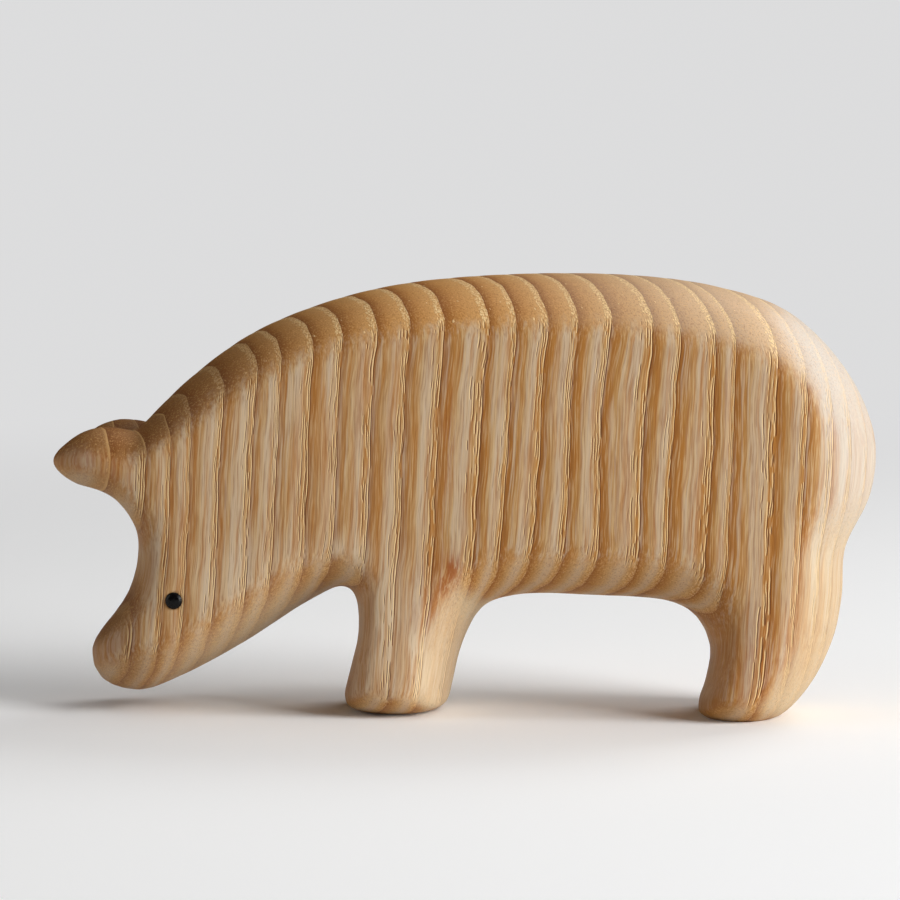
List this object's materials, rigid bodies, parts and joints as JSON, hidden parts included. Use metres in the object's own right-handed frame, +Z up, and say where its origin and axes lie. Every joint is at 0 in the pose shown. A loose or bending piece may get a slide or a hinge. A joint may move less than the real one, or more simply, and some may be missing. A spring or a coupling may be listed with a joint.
{
  "type": "wooden toy pig",
  "caption": "Standing toy pig carved from a flat block of ash, rounded over on all edges, with forward-pointing ears, a low snout, slab legs and black peg eyes.",
  "frame": {"origin": "on the floor, under the middle of the length and the middle of the thickness", "axes": "+Z up, -X from the rump towards the head, Y across the thickness"},
  "size_m": [0.1199, 0.0292, 0.0643],
  "materials": {
    "ash_wood": "oiled ash, satin, open pores",
    "eye_black": "black gloss"
  },
  "bodies": {
    "root": {"body": "ash_wood", "eye_left": "eye_black", "eye_right": "eye_black"}
  },
  "joints": []
}
